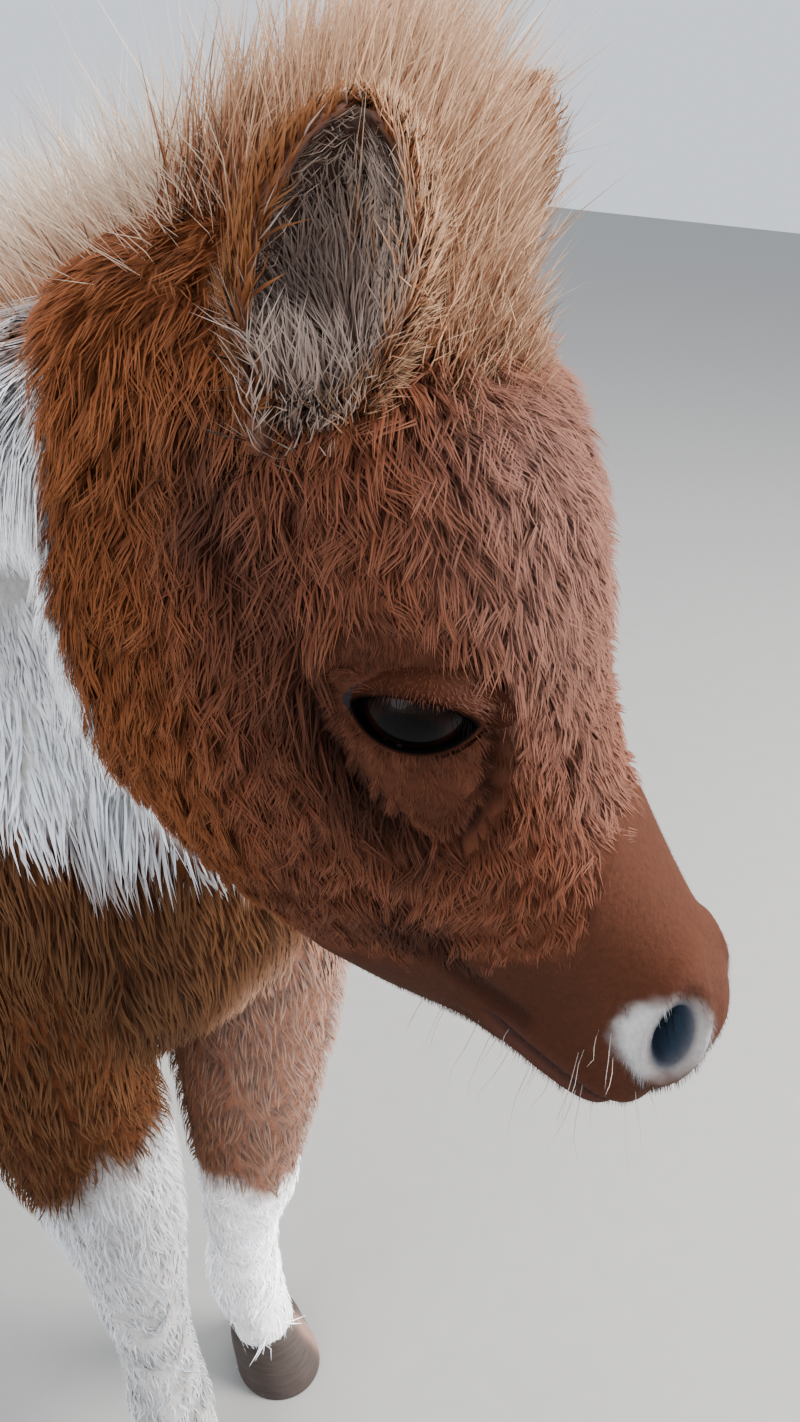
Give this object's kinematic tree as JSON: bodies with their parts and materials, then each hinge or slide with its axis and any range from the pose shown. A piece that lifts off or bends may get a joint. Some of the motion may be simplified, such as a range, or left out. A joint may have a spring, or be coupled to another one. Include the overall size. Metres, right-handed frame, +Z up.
{
  "type": "shetland pony foal model",
  "caption": "Life-size still model of a fluffy chestnut and white Shetland pony foal, standing with its head lowered and turned to the left.",
  "frame": {"origin": "on the floor, under the middle of the model's bounding box", "axes": "+X the way the foal faces, +Y to its left, +Z up"},
  "size_m": [1.04, 0.2904, 0.8959],
  "materials": {
    "coat_chestnut": "fluffy chestnut hair, with white patches",
    "coat_white": "fluffy white hair",
    "eye": "wet, very dark brown",
    "horn": "dull dark grey horn"
  },
  "bodies": {
    "root": {"torso": "coat_chestnut", "neck": "coat_chestnut", "head": "coat_chestnut", "tail": "coat_chestnut", "ear_left": "coat_chestnut", "ear_right": "coat_chestnut", "eye_left": "eye", "eye_right": "eye", "leg_front_left": "coat_white", "leg_front_right": "coat_white", "leg_hind_left": "coat_white", "leg_hind_right": "coat_white", "hoof_front_left": "horn", "hoof_front_right": "horn", "hoof_hind_left": "horn", "hoof_hind_right": "horn"}
  },
  "joints": []
}
